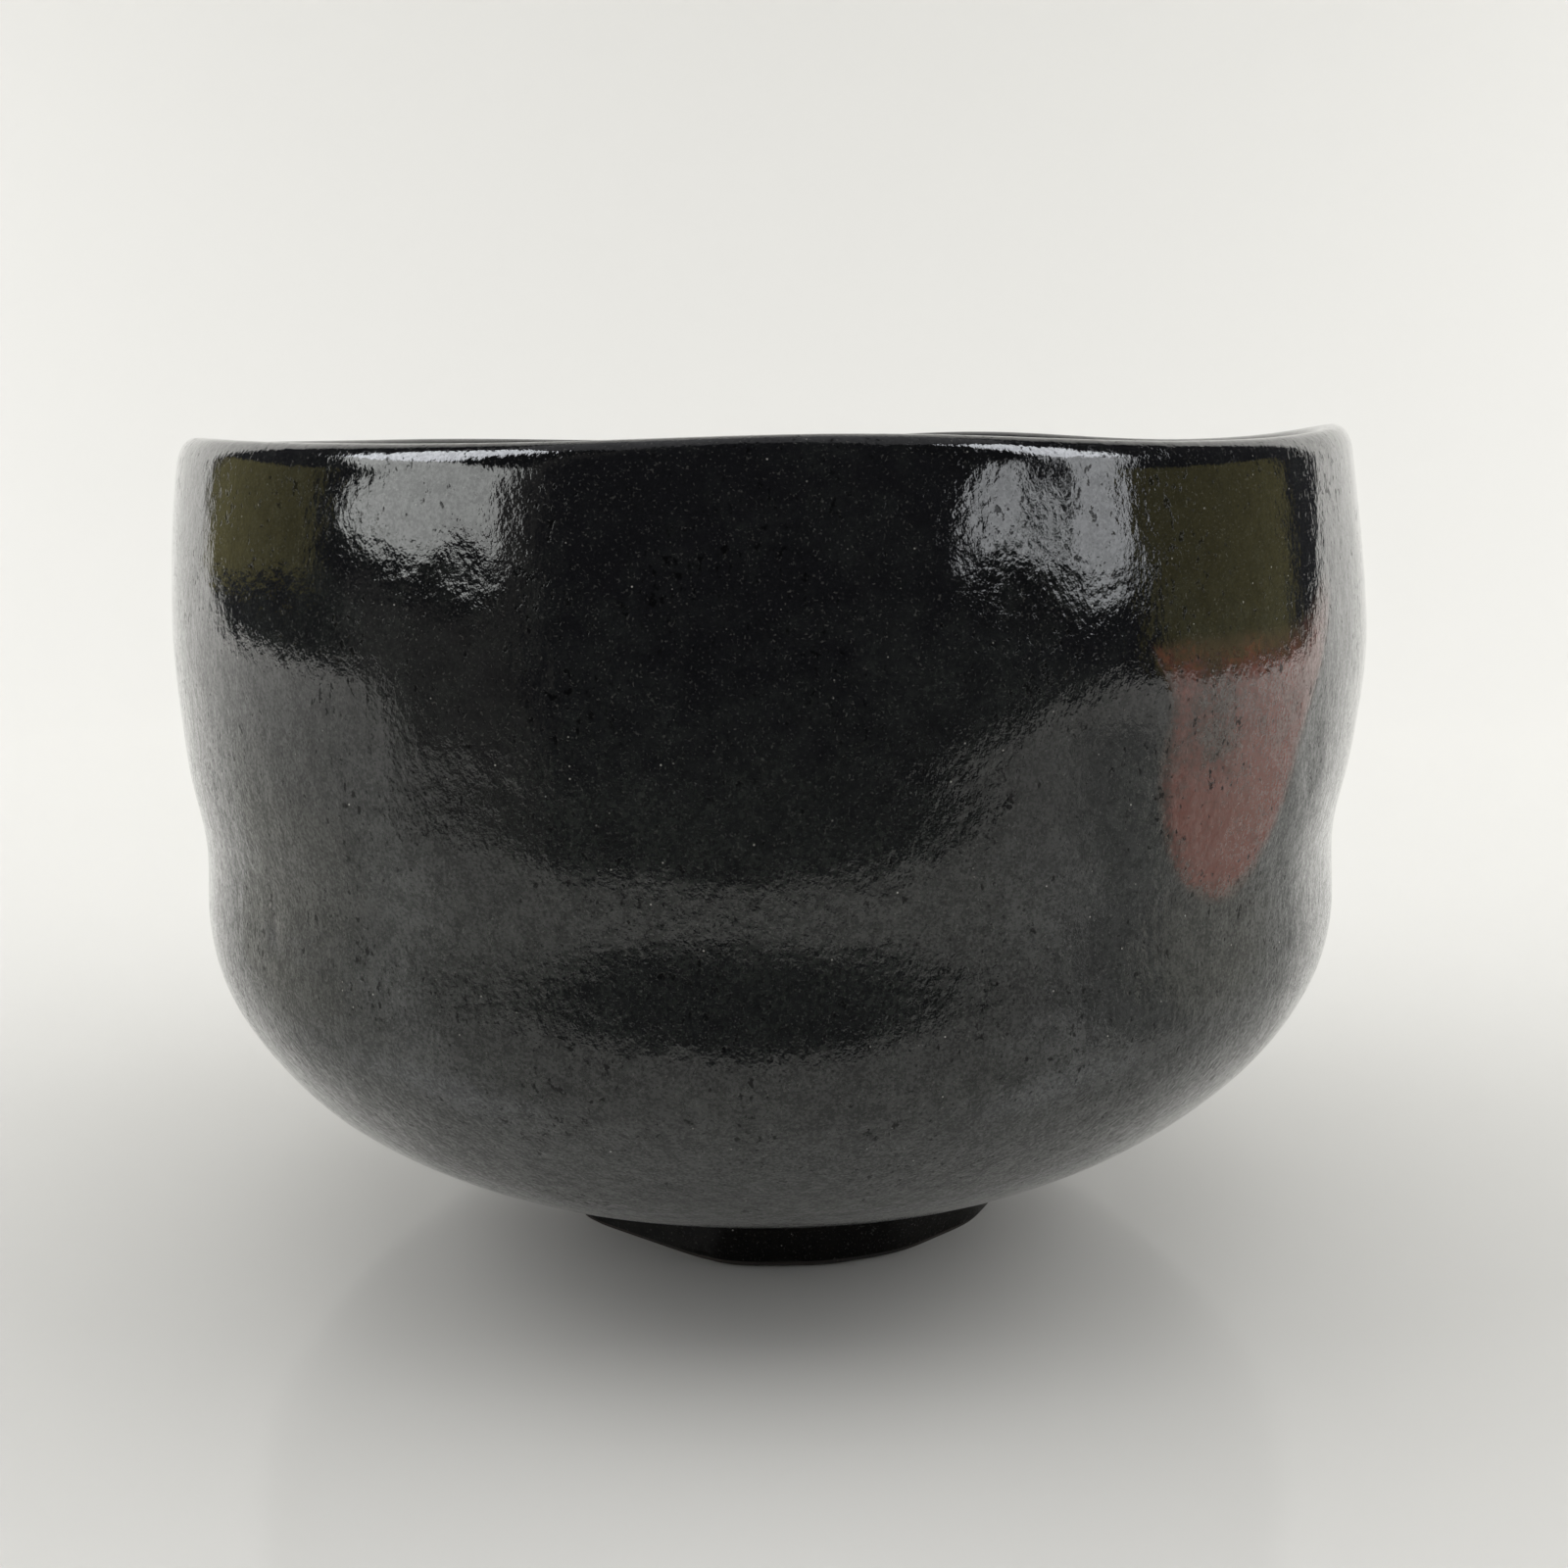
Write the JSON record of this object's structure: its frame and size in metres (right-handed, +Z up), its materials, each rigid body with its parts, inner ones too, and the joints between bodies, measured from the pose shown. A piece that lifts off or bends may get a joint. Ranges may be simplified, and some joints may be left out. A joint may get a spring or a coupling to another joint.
{
  "type": "tea bowl",
  "caption": "Hand-formed black raku tea bowl with upright, gently waved walls, a rounded hip, a low foot ring and a red flash in its glossy black glaze.",
  "frame": {"origin": "on the resting plane, under the middle of the belly", "axes": "+Z up out of the bowl's mouth, -Y towards the front, with the red flash to the right of it, +X to the right seen from the front"},
  "size_m": [0.1173, 0.117, 0.0805],
  "materials": {
    "clay": "matt, bare fired clay",
    "black_glaze": "glossy black with a citrus-skin texture",
    "red_glaze": "glossy red-brown, mottled into the black",
    "lining_glaze": "glossy black",
    "foot_glaze": "satin black, thin over the clay"
  },
  "bodies": {
    "root": {"clay_body": "clay", "foot_ring": "clay", "outer_glaze": "black_glaze", "red_patch": "red_glaze", "inner_glaze": "lining_glaze", "foot_glaze": "foot_glaze", "well_glaze": "foot_glaze"}
  },
  "joints": []
}
